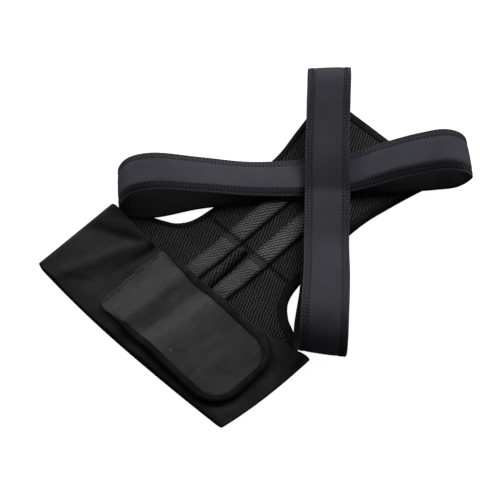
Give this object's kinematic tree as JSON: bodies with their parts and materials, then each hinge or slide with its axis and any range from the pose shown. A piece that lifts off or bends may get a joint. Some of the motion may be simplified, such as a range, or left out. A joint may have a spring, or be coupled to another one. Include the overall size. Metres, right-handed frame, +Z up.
{
  "type": "posture corrector",
  "caption": "Posture corrector lying flat: mesh back panel with stay webbing, closed waist belt with a hook-and-loop flap, and crossed padded shoulder strap rings.",
  "frame": {"origin": "on the table, under the middle of the object's box", "axes": "+X across the back, +Y up the spine from the waist belt to the neck edge, +Z up from the table"},
  "size_m": [0.3412, 0.4468, 0.0552],
  "materials": {
    "mesh_cloth": "black spacer mesh with small slanted holes",
    "belt_cloth": "near-black brushed stretch cloth",
    "flap_cloth": "dark grey hook-and-loop cloth",
    "strap_cloth": "charcoal padded cloth with a black inside face",
    "webbing": "mid-grey ribbed webbing",
    "edge_tape": "black folded binding tape"
  },
  "bodies": {
    "root": {"back_panel": "mesh_cloth", "arm_binding_left": "edge_tape", "arm_binding_right": "edge_tape", "neck_binding": "edge_tape", "stay_webbing_left": "webbing", "stay_webbing_right": "webbing", "waist_belt": "belt_cloth", "closing_flap": "flap_cloth", "flap_binding": "edge_tape", "shoulder_strap_left": "strap_cloth", "shoulder_strap_right": "strap_cloth"}
  },
  "joints": []
}
